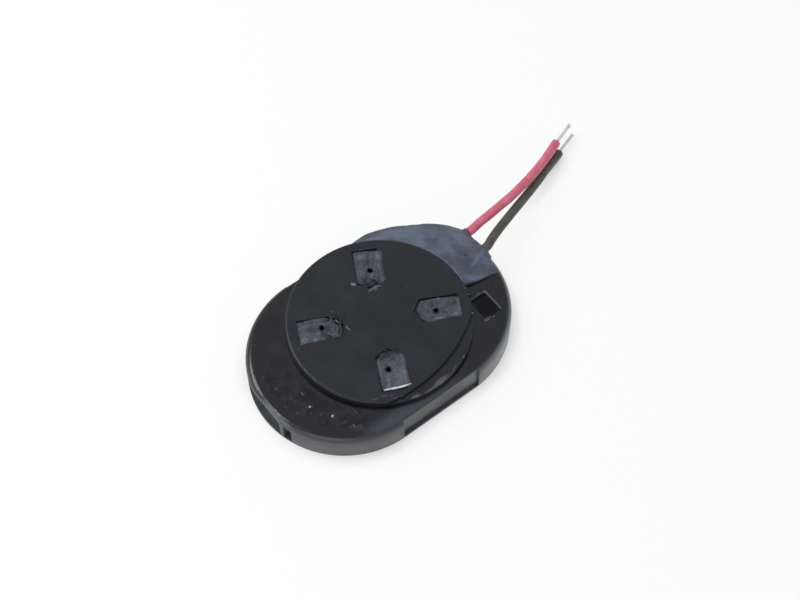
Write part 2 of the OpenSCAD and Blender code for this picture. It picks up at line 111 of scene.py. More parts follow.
def makeLamps(setup):
    for name, (place, aim, size, watts) in setup.items():
        data = bpy.data.lights.new(name, "AREA")
        data.shape, data.size, data.energy = "DISK", size * mm, watts
        pointAt(linked(name, data), place, aim)


# shader wires

def tone(red, green, blue):
    # a colour as seen on a screen, 0 to 255, as the linear value that shaders take
    screen = [value / 255 for value in (red, green, blue)]
    linear = [v / 12.92 if v <= 0.04045 else ((v + 0.055) / 1.055) ** 2.4 for v in screen]
    return (*linear, 1)


class Wire:
    # one socket in a node tree; sums on it add Math nodes
    def __init__(self, tree, socket=None):
        self.tree = tree
        self.socket = socket

    def node(self, kind, settings={}, inputs={}, output=0):
        made = self.tree.nodes.new("ShaderNode" + kind)
        for name, value in settings.items():
            setattr(made, name, value)
        for name, value in inputs.items():
            if isinstance(value, Wire):
                self.tree.links.new(value.socket, made.inputs[name])
            else:
                made.inputs[name].default_value = value
        return Wire(self.tree, made.outputs[output]) if made.outputs else made

    def maths(self, operation, *values):
        return self.node("Math", {"operation": operation}, dict(enumerate(values)))

    def vectors(self, operation, *values, output=0):
        return self.node("VectorMath", {"operation": operation}, dict(enumerate(values)), output)

    def __add__(self, other):
        return self.maths("ADD", self, other)

    def __radd__(self, other):
        return self.maths("ADD", other, self)

    def __sub__(self, other):
        return self.maths("SUBTRACT", self, other)

    def __rsub__(self, other):
        return self.maths("SUBTRACT", other, self)

    def __mul__(self, other):
        return self.maths("MULTIPLY", self, other)

    def __rmul__(self, other):
        return self.maths("MULTIPLY", other, self)

    def rise(self, low, high):
        # 0 below low, 1 above high, smooth between
        settings = {"interpolation_type": "SMOOTHSTEP"}
        return self.node("MapRange", settings, {0: self, 1: low, 2: high})

    def fall(self, low, high):
        return 1 - self.rise(low, high)

    def between(self, low, high):
        # a plain 0 to 1 value laid on another range
        return self * (high - low) + low

    def paint(self, under, over):
        # the wire is the mask: over shows where it is 1; plain colours are as seen on a screen
        under, over = (side if isinstance(side, Wire) else tone(*side) for side in (under, over))
        return self.node("Mix", {"data_type": "RGBA"}, {0: self, 6: under, 7: over}, 2)

    def stretched(self, x, y, z, turn=0):
        settings = {"rotation_type": "Z_AXIS"}
        turned = self.node("VectorRotate", settings, {"Vector": self, "Angle": radians(turn)})
        return self.vectors("MULTIPLY", turned, (x, y, z))

    def about(self, x, y, z):
        return self.vectors("SUBTRACT", self, (x, y, z))

    def reach(self):
        return self.vectors("LENGTH", self, output="Value")

    def axis(self, name):
        return self.node("SeparateXYZ", {}, {0: self}, name)

    def spot(self, x, y, wide, high, turn=0):
        # a patch with soft edges on any height, 1 in its middle
        return self.about(x, y, 0).stretched(1 / wide, 1 / high, 0, -turn).reach().fall(0.3, 1)

    def clouds(self, scale, detail=3, roughness=0.55, warp=0):
        sockets = {
            "Vector": self, "Scale": scale, "Detail": detail, "Roughness": roughness, "Distortion": warp,
        }
        return self.node("TexNoise", {}, sockets)

    def grains(self, scale):
        return self.node("TexVoronoi", {}, {"Vector": self, "Scale": scale})

    def waves(self, direction, scale):
        settings = {"bands_direction": direction}
        return self.node("TexWave", settings, {"Vector": self, "Scale": scale})

    def relief(self, height, under=None):
        # bump of a height in millimetres, on top of another one if there is one
        sockets = {"Height": self, "Distance": height * mm, "Strength": 1}
        if under:
            sockets["Normal"] = under
        return self.node("Bump", {}, sockets)


def layered(look, colour, layers):
    # each mask paints its own colour, a name in the look or a wire, over what is there
    for mask, strength, over in layers:
        colour = (mask * strength).paint(colour, look.get(over, over))
    return colour


def startMaterial(name, fixed):
    material = bpy.data.materials.new(name)
    material.use_nodes = True
    tree = material.node_tree
    for socket, value in fixed.items():
        tree.nodes["Principled BSDF"].inputs[socket].default_value = value
    coordinates = Wire(tree).node("TexCoord", output="Object")
    return material, coordinates.vectors("MULTIPLY", coordinates, (1 / mm, 1 / mm, 1 / mm))


def finishMaterial(material, **wires):
    sockets = {"colour": "Base Color", "gloss": "Roughness", "normal": "Normal", "metal": "Metallic"}
    tree = material.node_tree
    for name, wire in wires.items():
        tree.links.new(wire.socket, tree.nodes["Principled BSDF"].inputs[sockets[name]])
    return material


def makeWorld(setup):
    world = bpy.data.worlds.new("studio")
    world.use_nodes = True
    bpy.context.scene.world = world
    world.node_tree.nodes.clear()
    wire = Wire(world.node_tree)
    seen = wire.node("LightPath", output="Is Camera Ray")
    soft = wire.node("Background", {}, {"Color": setup["soft"], "Strength": setup["strength"]})
    white = wire.node("Background", {}, {"Color": (1, 1, 1, 1), "Strength": 1})
    mixed = wire.node("MixShader", {}, {0: seen, 1: soft, 2: white})
    wire.node("OutputWorld", {}, {"Surface": mixed})


def makeTable(setup):
    reach, top = setup["reach"], setup["top"]
    corners = [(-reach, -reach, top), (reach, -reach, top), (reach, reach, top), (-reach, reach, top)]
    table = linkMesh("table", corners, [(0, 1, 2, 3)])
    material = bpy.data.materials.new("paleTable")
    material.use_nodes = True
    material.node_tree.nodes.clear()
    wire = Wire(material.node_tree)
    seen = wire.node("LightPath", output="Is Camera Ray")
    mirrored = wire.node("LightPath", output="Is Glossy Ray")
    matt = wire.node("BsdfDiffuse", {}, {"Color": setup["colour"]})
    glow = wire.node("Emission", {}, {"Color": (1, 1, 1, 1), "Strength": setup["white"]})
    bright = wire.node("Emission", {}, {"Color": (1, 1, 1, 1), "Strength": setup["mirrored"]})
    # close to the part the glow gives way to the shadow
    distance = {"Distance": setup["contact"] * mm}
    contact = wire.node("AmbientOcclusion", {"samples": 8}, distance, "AO")
    plain = wire.node("MixShader", {}, {0: seen * contact * setup["glow"], 1: matt, 2: glow})
    mixed = wire.node("MixShader", {}, {0: mirrored, 1: plain, 2: bright})
    wire.node("OutputMaterial", {}, {"Surface": mixed})
    table.data.materials.append(material)


# materials

shellLook = {
    # the wall, far wall, foot and lip tones are painted light, and the near black pocket tone is painted
    # shade
    "body": (16, 16, 19), "worn": (34, 33, 38), "wall": (70, 71, 75),
    "farWall": (140, 142, 145), "film": (58, 58, 64), "haze": (66, 71, 80),
    "foot": (84, 86, 92), "lip": (112, 116, 121), "dust": (120, 124, 130),
    "pocketShade": (8, 8, 11), "smooth": 0.16, "rough": 0.34, "wallRough": 0.22, "lumps": 0.012,
    "grain": 0.004, "hazeSpot": (-5.7, -5.2, 1.1, 0.6, -38), "pocketShadeSpot": (7.1, -3.1, 1.6, 2),
}


def shellMaterial(look):
    material, place = startMaterial("mouldedShell", {"IOR": 1.6, "Specular IOR Level": 0.5})
    up = place.node("NewGeometry", output="Normal").axis("Z")
    x, y, z = (place.axis(name) for name in "XYZ")
    facing = up.rise(0.6, 0.995)
    grain = place.clouds(14, 2)
    scuffs = place.stretched(1.4, 9, 4, 35).clouds(1, 3, 0.7).rise(0.62, 0.78)
    patches = place.clouds(0.45, 4, 0.6, 0.4).rise(0.48, 0.72)
    specks = place.grains(2.6).fall(0.04, 0.09) * place.clouds(1.3, 2).rise(0.54, 0.62)
    wallPatchiness = place.stretched(0.6, 0.6, 2.4).clouds(1.2, 4, 0.65).rise(0.4, 0.75)
    # painted reflection: upright faces get a light grey tone, lighter towards the sealant end, standing in
    # for the bright table they reflect
    wall = x.rise(1, 7).paint(look["wall"], look["farWall"])
    wallShade = wallPatchiness.between(0.7, 1)
    # haze along the near edge, and one patch of it by the flat end
    nearHaze = y.fall(-6.2, -5.4) * x.rise(-6.4, -4.8) * x.fall(0, 3)
    hazeSpot = place.spot(*look["hazeSpot"]) * place.clouds(1.4, 4, 0.65).rise(0.4, 0.6)
    # painted highlight: a pale tone where light catches the lip along the flat end
    lip = up.rise(0.3, 0.6) * up.fall(0.8, 0.97) * x.fall(-9.6, -9.3) * y.fall(-0.4, 0.8)
    # painted light: the foot at the bottom of the shaded slots gets a lighter tone, as if lit
    foot = z.fall(0.24, 0.4) * up.rise(0.3, 0.8)
    # painted shade: near black in the bottom of the small pocket by the sealant
    pocketShade = z.fall(shellTop - 0.15, shellTop - 0.08) * place.spot(*look["pocketShadeSpot"]) * facing
    colour = layered(look, look["body"], [
        (patches, 0.6, "worn"), (scuffs * facing, 0.4, "film"), (hazeSpot, 0.8, "film"),
        (nearHaze * facing, place.clouds(0.8, 4, 0.6).between(0.6, 1), "haze"),
        (1 - facing, wallShade, wall), (lip, 0.75, "lip"), (foot, wallShade, "foot"),
        (specks * facing, 0.8, "dust"), (pocketShade, 0.9, "pocketShade"),
    ])
    gloss = (patches * 0.6 + scuffs * 0.4).between(look["smooth"], look["rough"])
    gloss += (1 - facing) * look["wallRough"]
    normal = (grain + scuffs * 0.4).relief(look["grain"])
    normal = (place.clouds(0.9, 5, 0.6, 0.8) * facing).relief(look["lumps"], normal)
    return finishMaterial(material, colour=colour, gloss=gloss, normal=normal, metal=pocketShade * 0.6)


capLook = {
    "body": (20, 22, 27), "cloudyAndLit": (32, 34, 40), "wall": (18, 18, 20),
    "dust": (90, 94, 100), "wearAndSheen": (100, 96, 102), "smooth": 0.36, "rough": 0.52,
    # x, y, half length, half width, turn and strength of pale marks on the crescent's edge: wear, and painted
    # highlights where its rim catches light
    "rimWearAndSheen": [
        (0.62, -6.12, 1, 0.28, 6, 1), (-0.4, -6.2, 0.7, 0.16, 0, 0.7), (-1.45, -6, 0.5, 0.22, -12, 0.9),
        (3.05, -5.58, 0.16, 0.14, 0, 0.9), (1.9, -5.95, 0.9, 0.08, 22, 0.5),
        (-2.6, -5.7, 0.5, 0.1, -25, 0.35),
    ],
}


def capMaterial(look):
    material, place = startMaterial("satinCap", {"IOR": 1.5})
    facing = place.node("NewGeometry", output="Normal").axis("Z").rise(0.2, 0.7)
    clouds = place.clouds(0.5, 5, 0.6, 0.3)
    wear = place.stretched(0.7, 7, 3, -20).clouds(1, 3, 0.7).rise(0.62, 0.8)
    specks = place.grains(1.3).fall(0.02, 0.05) * place.clouds(0.8, 2).rise(0.52, 0.6)
    colour = layered(look, look["body"], [
        (clouds.rise(0.35, 0.75), 1, "cloudyAndLit"), (wear, 0.22, "dust"), (specks, 0.6, "dust"),
        # painted light: the top grows lighter towards the sealant end
        (place.axis("X").rise(-5, 7), 0.5, "cloudyAndLit"),
    ])
    broken = place.clouds(4, 3, 0.7).between(0.3, 1.3)
    # pale wear and painted highlights along the crescent's edge
    rimWearAndSheen = [(place.spot(*where) * broken, strength, "wearAndSheen") for *where, strength in look["rimWearAndSheen"]]
    # painted shade: the side wall and rounded rim get a near black tone, standing in for the dark shell top
    # they reflect
    colour = facing.paint(look["wall"], layered(look, colour, rimWearAndSheen))
    gloss = (clouds * 0.8 + wear * 0.3).between(look["smooth"], look["rough"]) + (1 - facing) * 0.25
    normal = place.clouds(22, 2).relief(0.003)
    normal = place.clouds(1.6, 3).relief(0.006, normal)
    return finishMaterial(material, colour=colour, gloss=gloss, normal=normal)


clothLook = {
    "thread": (83, 90, 100), "low": (54, 58, 65), "soaked": (38, 40, 46),
    "glueAndShade": (12, 12, 15), "pale": (118, 124, 134), "rough": 0.55,
    # along, across, two half widths and strength of pale places; less than nothing is a dark one
    "patches": {
        1: [(5.3, 0.45, 0.3, 0.5, 0.5), (5.1, -0.72, 0.35, 0.25, 0.4), (3.75, -0.05, 0.5, 0.07, 0.8),
            (2.98, -0.1, 0.25, 0.24, -1), (2.78, 0.55, 0.15, 0.25, -0.9), (4.75, 0.1, 0.35, 0.25, -0.35),
            (4.2, -0.9, 0.9, 0.2, -0.35)],
        2: [(5.4, 0.85, 0.35, 0.35, 0.55), (5.3, -0.25, 0.45, 0.18, 0.35), (4.64, 0.95, 0.2, 0.22, 0.9),
            (3.98, -0.2, 0.22, 0.14, 0.9), (4.35, 0.45, 0.3, 0.12, 0.5), (3.5, 0.6, 0.5, 0.3, 0.3),
            (4.9, 0.2, 0.4, 0.14, -0.5), (2.9, -0.3, 0.2, 0.2, 0.5)],
        3: [(5.1, -0.15, 0.9, 0.1, 0.6), (4.45, 0.85, 0.4, 0.35, 0.5), (4.6, 0.45, 0.25, 0.12, 0.5),
            (3.9, -0.6, 0.9, 0.12, 0.35), (4.95, 0.35, 0.18, 0.35, -0.5), (3.1, 0.6, 0.35, 0.4, 0.15),
            (5.5, -0.3, 0.3, 0.3, 0.5), (3.2, -0.2, 0.4, 0.3, -0.3), (5, 0.3, 0.9, 0.9, 0.3)],
        4: [(4.4, 0.88, 0.2, 0.1, 0.9), (4.15, -0.66, 0.55, 0.12, 0.8), (5.3, -0.5, 0.4, 0.2, 0.6),
            (4.9, -0.1, 0.15, 0.2, 0.4), (3.8, 0.55, 0.35, 0.35, -0.35), (5.2, 0.5, 0.5, 0.3, -0.2),
            (4.05, 0.4, 0.06, 0.3, 0.5)],
    },
}


def clothMaterial(look, number, glued):
    # glued: how far from the inner end the glue has soaked in
    material, place = startMaterial(f"ventCloth{number}", {"IOR": 1.45})
    along = place.about(motorX, motorY, 0).stretched(1, 1, 1, -windowTurn - 90 * (number - 1))
    pits = place.grains(5.2).fall(0.1, 0.5) * place.clouds(2.4, 3, 0.6).rise(0.4, 0.6)
    mottle = place.clouds(3.4, 4, 0.65, 0.6)
    slow = place.clouds(1.1, 3, 0.5)
    inward = along.axis("X").fall(2.6 + glued * 0.4, 3.4 + glued)
    pin = along.about(pinReach, 0, 0).stretched(1, 1, 0)
    # painted shade: a ragged dark star round the pin hole, in the glue tone
    pinShade = pin.reach() + pin.vectors("NORMALIZE", pin).clouds(3, 3, 0.8) * 0.5
    soaked = (place.clouds(1.6, 5, 0.65, 0.7) + inward * 0.2).rise(0.56, 0.72)
    colour = (mottle * 0.6 + slow * 0.4).rise(0.36, 0.62).paint(look["low"], look["thread"])
    uneven = mottle.between(0.4, 1.3)
    patches = [
        (along.spot(*where) * uneven, abs(strength), "pale" if strength > 0 else "glueAndShade")
        for *where, strength in look["patches"][number]
    ]
    colour = layered(look, colour, [
        *patches, (pits, 0.55, "soaked"), (soaked, 0.75, "soaked"),
        (soaked * inward, mottle.rise(0.5, 0.6), "glueAndShade"), (pinShade.fall(0.42, 0.58), 1, "glueAndShade"),
    ])
    gloss = soaked.between(look["rough"], 0.32)
    normal = (mottle - pits * 0.3).relief(0.03)
    return finishMaterial(material, colour=colour, gloss=gloss, normal=normal)


sealantLook = {
    "body": (86, 94, 110), "pale": (108, 117, 134), "deep": (66, 72, 90),
    "rim": (84, 92, 98), "dark": (30, 31, 38), "lilac": (104, 104, 124),
    "red": (120, 60, 78), "smooth": 0.3, "rough": 0.48,
    # x, y, half length, half width, turn, strength and tone: the pale spots are painted highlights on the
    # bead's upper part, the deep one is painted shade
    "spots": [
        (8.1, 0.4, 0.9, 1.7, -10, 0.75, "deep"), (9.1, 2, 0.8, 0.9, 0, 0.8, "pale"),
        (9.05, 0.1, 1.5, 0.22, 20, 0.9, "pale"), (7.8, 2.5, 0.7, 0.8, 0, 0.5, "pale"),
    ],
}


def sealantMaterial(look):
    fixed = {"IOR": 1.45, "Subsurface Weight": 0.1, "Subsurface Scale": 0.3 * mm}
    material, place = startMaterial("curedSealant", fixed)
    ring = place.about(motorX, motorY, 0).stretched(1, 1, 0).reach()
    fromEnd = place.about(endX, 0, 0).stretched(1, 1, 0).reach()
    # painted highlights: pale streaks running along the bead
    streaks = place.stretched(0.5, 1.9, 1.2, 38).clouds(0.9, 3, 0.5, 0.5)
    clouds = place.clouds(0.6, 3, 0.55, 0.4)
    # painted highlight: a pale band over the bead's upper part
    band = fromEnd.rise(5.5, 5.9) * fromEnd.fall(6.2, 6.5) * place.axis("X").fall(6.4, 8.2)
    outer = fromEnd.rise(6.3, 6.7) * place.axis("X").fall(8.4, 9.2)
    inner = ring.fall(6.9, 7.5) * place.axis("Y").fall(1, 3) * clouds.rise(0.35, 0.6)
    pits = place.grains(0.9).fall(0.05, 0.16) * clouds.rise(0.5, 0.6)
    redExit = place.about(9.8, 2.4, shellTop + 0.4).reach().fall(0.2, 0.7)
    capLine = ring.rise(5.95, 6.1) * ring.fall(6.2, 6.5) * clouds.rise(0.35, 0.55)
    spots = [(place.spot(*where), strength, name) for *where, strength, name in look["spots"]]
    colour = layered(look, look["body"], [
        (streaks.rise(0.4, 0.68), 1, "pale"), (clouds.fall(0.34, 0.5), 0.4, "deep"), *spots,
        (capLine, 0.7, "lilac"), (band, 0.75, "pale"), (outer, 0.8, "rim"),
        (inner, 0.6, "deep"), (redExit, 0.45, "red"), (pits, 0.7, "dark"),
    ])
    gloss = clouds.between(look["smooth"], look["rough"])
    normal = streaks.relief(0.03)
    normal = place.clouds(5, 3).relief(0.006, normal)
    return finishMaterial(material, colour=colour, gloss=gloss, normal=normal)


def insulationMaterial(name, body, pale, dirty, rough):
    material, place = startMaterial(name, {"IOR": 1.5, "Coat Weight": 0.2, "Coat Roughness": 0.25})
    clouds = place.clouds(1.2, 4, 0.6)
    colour = clouds.rise(0.4, 0.7).paint(body, pale)
    dirt = place.clouds(4, 3, 0.7).rise(0.66, 0.8)
    colour = (dirt * 0.35).paint(colour, dirty)
    gloss, normal = clouds.between(rough - 0.08, rough + 0.1), place.clouds(9, 3).relief(0.008)
    return finishMaterial(material, colour=colour, gloss=gloss, normal=normal)


def metalMaterial(name, body, stained, rough, metallic=1.0, grainTurn=None):
    material, place = startMaterial(name, {"Metallic": metallic})
    where = place if grainTurn is None else place.stretched(0.8, 14, 2, grainTurn)
    grain = where.clouds(2.5, 4, 0.65)
    stains = place.clouds(0.8, 4, 0.6, 0.3).rise(0.5, 0.75)
    colour = (stains * 0.5).paint(body, stained)
    gloss = (grain * 0.6 + stains * 0.3).between(rough * 0.7, rough * 1.4)
    return finishMaterial(material, colour=colour, gloss=gloss, normal=grain.relief(0.004))


def plasticMaterial(name, body, other, rough, scale=1.5):
    material, place = startMaterial(name, {"IOR": 1.5})
    clouds = place.clouds(scale, 4, 0.6)
    colour = clouds.rise(0.35, 0.7).paint(body, other)
    gloss, normal = clouds.between(rough * 0.8, rough * 1.2), place.clouds(8 * scale, 2).relief(0.004)
    return finishMaterial(material, colour=colour, gloss=gloss, normal=normal)


def meshMaterial():
    material, place = startMaterial("dustMesh", {"IOR": 1.45})
    weave = place.waves("X", 4) * 0.5 + place.waves("Y", 4) * 0.5
    colour = weave.rise(0.3, 0.7).paint((10, 10, 11), (62, 62, 66))
    return finishMaterial(material, colour=colour, gloss=weave.between(0.5, 0.7), normal=weave.relief(0.03))


def windingMaterial():
    material, place = startMaterial("coilWinding", {"Metallic": 0.85})
    turns = place.waves("Z", 3.8)
    colour = turns.rise(0.1, 0.6).paint((90, 42, 20), (200, 120, 70))
    return finishMaterial(material, colour=colour, gloss=turns.between(0.45, 0.3), normal=turns.relief(0.03))


def giveMaterial(node, material):
    for slot in cadNodes[node].material_slots:
        slot.link = "OBJECT"
        slot.material = material


def softenEdges(node, width):
    # small moulded radius, so edges catch light
    piece = cadNodes[node]
    weld = piece.modifiers.new("weld", "WELD")
    weld.merge_threshold = 0.001 * mm
    bevel = piece.modifiers.new("edges", "BEVEL")
    bevel.width, bevel.segments = width * mm, 2
    bevel.limit_method, bevel.angle_limit = "ANGLE", radians(35)
    bevel.harden_normals = True


# mesh making

def linkMesh(name, points, faces):
    mesh = bpy.data.meshes.new(name)
    mesh.from_pydata([Vector(p) * mm for p in points], [], faces)
    mesh.validate()
    mesh.polygons.foreach_set("use_smooth", [True] * len(mesh.polygons))
    return linked(name, mesh)


def applied(piece):
    # makes a piece's modifiers real
    evaluated = piece.evaluated_get(bpy.context.evaluated_depsgraph_get())
    mesh = bpy.data.meshes.new_from_object(evaluated)
    piece.modifiers.clear()
    piece.data = mesh


def settle(piece, material, slot, *stands):
    piece.data.materials.clear()
    piece.data.materials.append(material)
    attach(piece, "housing")
    if stands:
        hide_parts(*stands)


def makePiece(name, skin, *settling):
    settle(linkMesh(name, *skin), *settling)


def cutCopy(name, node, cuts=(), rings=()):
    # a closed copy of a CAD piece: cuts trim it by upright planes, rings are places to bend at
    solid = bmesh.new()
    solid.from_mesh(cadNodes[node].data)
    solid.transform(Matrix.Scale(1 / mm, 4) @ cadNodes[node].matrix_world)
    bmesh.ops.remove_doubles(solid, verts=solid.verts, dist=0.001)

    def knife(point, normal, trim):
        everything = solid.verts[:] + solid.edges[:] + solid.faces[:]
        planes = {"plane_co": point, "plane_no": normal, "clear_outer": trim}
        return bmesh.ops.bisect_plane(solid, geom=everything, dist=1e-5, **planes)["geom_cut"]

    for point, outward in cuts:
        edges = [part for part in knife(point, outward, True) if isinstance(part, bmesh.types.BMEdge)]
        bmesh.ops.triangle_fill(solid, use_beauty=True, edges=edges, normal=outward)
    for point, along in rings:
        knife(point, along, False)
    bmesh.ops.recalc_face_normals(solid, faces=solid.faces)
    solid.transform(Matrix.Scale(mm, 4))
    mesh = bpy.data.meshes.new(name)
    solid.to_mesh(mesh)
    solid.free()
    return linked(name, mesh)


def smoothRoute(points, steps):
    # Catmull-Rom curve through the points
    points = [Vector(p) for p in points]
    ends = [2 * points[0] - points[1], *points, 2 * points[-1] - points[-2]]
    route = []
    for a, b, c, d in zip(ends, ends[1:], ends[2:], ends[3:]):
        for step in range(steps):
            t = step / steps
            square = (2 * a - 5 * b + 4 * c - d) * t * t
            route.append(0.5 * (2 * b + (c - a) * t + square + (3 * b - a - 3 * c + d) * t ** 3))
    return route + [points[-1]]


def framesAlong(route):
    # a side and an up vector at each point, level as far as possible
    frames = []
    for i, point in enumerate(route):
        ahead = (route[min(i + 1, len(route) - 1)] - route[max(i - 1, 0)]).normalized()
        side = Vector((0, 0, 1)).cross(ahead).normalized()
        frames.append((point, side, ahead.cross(side)))
    return frames


def sweep(rings):
    # points and faces of a closed skin over rings of the same count, with both ends capped
    count = len(rings[0])
    points = [p for ring in rings for p in ring]
    faces = [
        (i * count + k, i * count + (k + 1) % count, (i + 1) * count + (k + 1) % count, (i + 1) * count + k)
        for i in range(len(rings) - 1) for k in range(count)
    ]
    faces.append(tuple(reversed(range(count))))
    faces.append(tuple(range(len(points) - count, len(points))))
    return points, faces


def ringOf(frameAt, radius, sides):
    point, side, up = frameAt
    angles = [2 * pi * k / sides for k in range(sides)]
    return [point + radius * (cos(a) * side + sin(a) * up) for a in angles]


def joined(parts):
    points, faces = [], []
    for somePoints, someFaces in parts:
        start = len(points)
        points += somePoints
        faces += [tuple(start + i for i in face) for face in someFaces]
    return points, faces


def insideLoop(x, y, loop):
    within = False
    for (ax, ay), (bx, by) in zip(loop, loop[1:] + loop[:1]):
        if (ay > y) != (by > y) and x < ax + (y - ay) / (by - ay) * (bx - ax):
            within = not within
    return within


def raggedLoop(corners, step, depth, seed):
    # an outline cut into short steps and pushed about, as a torn or poured edge is
    loop = []
    for a, b in zip(corners, corners[1:] + corners[:1]):
        a, b = Vector(a), Vector(b)
        count = max(1, round((b - a).length / step))
        for i in range(count):
            p = a.lerp(b, i / count)
            slow = noise.noise_vector(Vector((p.x * 1.3, p.y * 1.3, seed)))
            quick = noise.noise_vector(Vector((p.x * 5, p.y * 5, seed + 7)))
            loop.append((p.x + depth * (slow.x + 0.6 * quick.x), p.y + depth * (slow.y + 0.6 * quick.y)))
    return loop


def cutSheet(outline, holes, spacing, top, bottom):
    # a closed thin piece with ragged holes; top and bottom give the heights of its two faces
    loops = [outline, *holes]
    corners, edges = [], []
    for loop in loops:
        start = len(corners)
        corners += [Vector(p) for p in loop]
        edges += [(start + i, start + (i + 1) % len(loop)) for i in range(len(loop))]
    rim = np.array(corners)
    low, high = rim.min(axis=0), rim.max(axis=0)
    jitter = 0.15
    for row in range(int((high[1] - low[1]) / spacing) + 1):
        for column in range(int((high[0] - low[0]) / spacing) + 1):
            x = low[0] + spacing * (column + 0.5 * (row % 2) + random.uniform(-jitter, jitter))
            y = low[1] + spacing * (row + random.uniform(-jitter, jitter))
            clear = np.hypot(rim[:, 0] - x, rim[:, 1] - y).min() > 0.6 * spacing
            if clear and insideLoop(x, y, outline) and not any(insideLoop(x, y, hole) for hole in holes):
                corners.append(Vector((x, y)))
    flat, _, triangles, *_ = geometry.delaunay_2d_cdt(corners, edges, [], 0, 1e-7)
    kept = []
    for face in triangles:
        x, y = (sum(flat[i][axis] for i in face) / 3 for axis in (0, 1))
        if insideLoop(x, y, outline) and not any(insideLoop(x, y, hole) for hole in holes):
            kept.append(tuple(face))
    used = sorted({i for face in kept for i in face})
    place = {old: new for new, old in enumerate(used)}
    kept = [tuple(place[i] for i in face) for face in kept]
    flat = [flat[i] for i in used]
    count = len(flat)
    points = [Vector((p.x, p.y, height(p.x, p.y))) for height in (top, bottom) for p in flat]
    sides = {(a, b) for face in kept for a, b in zip(face, face[1:] + face[:1])}
    walls = [(b, a, a + count, b + count) for a, b in sides if (b, a) not in sides]
    return points, kept + [tuple(i + count for i in reversed(face)) for face in kept] + sorted(walls)


def lump(place, size, seed, rough):
    # a small rounded crumb or droplet: size is its three half widths
    bm = bmesh.new()
    bmesh.ops.create_icosphere(bm, subdivisions=3, radius=1)
    points = []
    for vertex in bm.verts:
        push = 1 + rough * noise.fractal(vertex.co * 1.4 + Vector((seed, 0, 0)), 0.8, 2, 3)
        points.append(Vector([place[i] + vertex.co[i] * size[i] * push for i in range(3)]))
    faces = [tuple(v.index for v in face.verts) for face in bm.faces]
    bm.free()
    return points, faces


def thread(points, radius, sides=8):
    # a fine tapered tube along a few points
    route = framesAlong(smoothRoute(points, 6))
    last = len(route) - 1
    return sweep([ringOf(at, radius * (0.35 + 0.65 * sin(pi * min(1, 0.1 + i / last * 0.8))), sides)
                  for i, at in enumerate(route)])


def clamped(value):
    return min(1, max(0, value))


def heading(angle):
    return Vector((cos(angle), sin(angle), 0))


def inWindow(number, along, across, z):
    # from a window's own directions to the part's
    turn = radians(windowTurn + 90 * (number - 1))
    x = motorX + along * cos(turn) - across * sin(turn)
    y = motorY + along * sin(turn) + across * cos(turn)
    return Vector((x, y, z))


# leads

# past the shell's end, sideways from the exit, share of the exit's height; the last two are bare core
leadSetup = {
    "red": {
        "exitY": 2.4,
        "route": [
            (-0.8, 0, 1), (0.2, 0, 1), (1.2, 0.16, 0.99), (2.3, 0.31, 0.94), (3.4, 0.49, 0.89),
            (4.5, 0.67, 0.83), (5.7, 0.94, 0.77), (7, 1.28, 0.7), (8.4, 1.74, 0.61),
            (9.7, 2.26, 0.51), (10.9, 2.79, 0.43), (11.9, 3.17, 0.37), (13, 3.6, 0.31),
        ],
    },
    "black": {
        "exitY": 0.6,
        "route": [
            (-0.8, 0, 1), (0.2, 0, 1), (1, 0.35, 0.95), (2, 0.76, 0.87), (3, 1.14, 0.77),
            (4.2, 1.59, 0.64), (5.3, 2.01, 0.5), (6.5, 2.45, 0.38), (7.7, 2.91, 0.27),
            (8.8, 3.35, 0.2), (9.9, 3.76, 0.1), (10.9, 4.14, 0.04), (11.9, 4.51, 0.02), (12.9, 4.82, 0.02),
        ],
    },
    "diameter": 0.7, "bore": 0.3, "exitRise": 0.05, "barePoints": 2, "strand": 0.086, "twist": 2.6,
    "steps": 10, "hidden": 8, "sides": 28, "strandSides": 8,
}


def leadPoints(colour):
    radius = leadSetup["diameter"] / 2
    lead = leadSetup[colour]
    exitZ = shellTop + leadSetup["exitRise"]
    return [
        Vector((shellHigh.x + x, lead["exitY"] + y, radius + (exitZ - radius) * z))
        for x, y, z in lead["route"]
    ]


def makeLead(colour, material, tinned):
    setup = leadSetup
    points = leadPoints(colour)
    route = smoothRoute(points, setup["steps"])
    bareFrom = setup["steps"] * (len(points) - 1 - setup["barePoints"])
    cover = framesAlong(route[:bareFrom + 1])
    radius, bore, sides = setup["diameter"] / 2, setup["bore"] / 2, setup["sides"]
    rings = [ringOf(at, radius * (0.97 + 0.02 * noise.noise(at[0] * 0.9)), sides) for at in cover]
    # the cut end turns in and runs back along the bore
    rings[-1] = ringOf(cover[-1], radius * 0.96, sides)
    rings.append(ringOf(cover[-1], bore + 0.05, sides))
    rings += [ringOf(cover[-back], bore, sides) for back in (2, 5, 8)]
    insulation = f"{colour}_insulation"
    makePiece(f"{colour}_lead_cover", sweep(rings), material, insulation, insulation)
    # seven tinned strands, twisted together
    hidden = setup["hidden"]
    core = framesAlong(route[bareFrom - hidden:])
    strands = []
    for number in range(7):
        rings = []
        for i, (point, side, up) in enumerate(core):
            spread = 0 if number == 0 else setup["strand"] * 1.02
            past = max(0, i - hidden) / (len(core) - hidden)
            spread *= 1 + 0.5 * past ** 3 * (number % 3) / 2
            along = sum((core[j + 1][0] - core[j][0]).length for j in range(i))
            angle = number * pi / 3 + 2 * pi * along / setup["twist"]
            centre = point + spread * (cos(angle) * side + sin(angle) * up)
            shrink = 0.55 if i == len(core) - 1 else 1
            rings.append(ringOf((centre, side, up), setup["strand"] / 2 * shrink, setup["strandSides"]))
        strands.append(sweep(rings))
    makePiece(f"{colour}_lead_strands", joined(strands), tinned, "tinned_core", f"{colour}_core")


# sealant

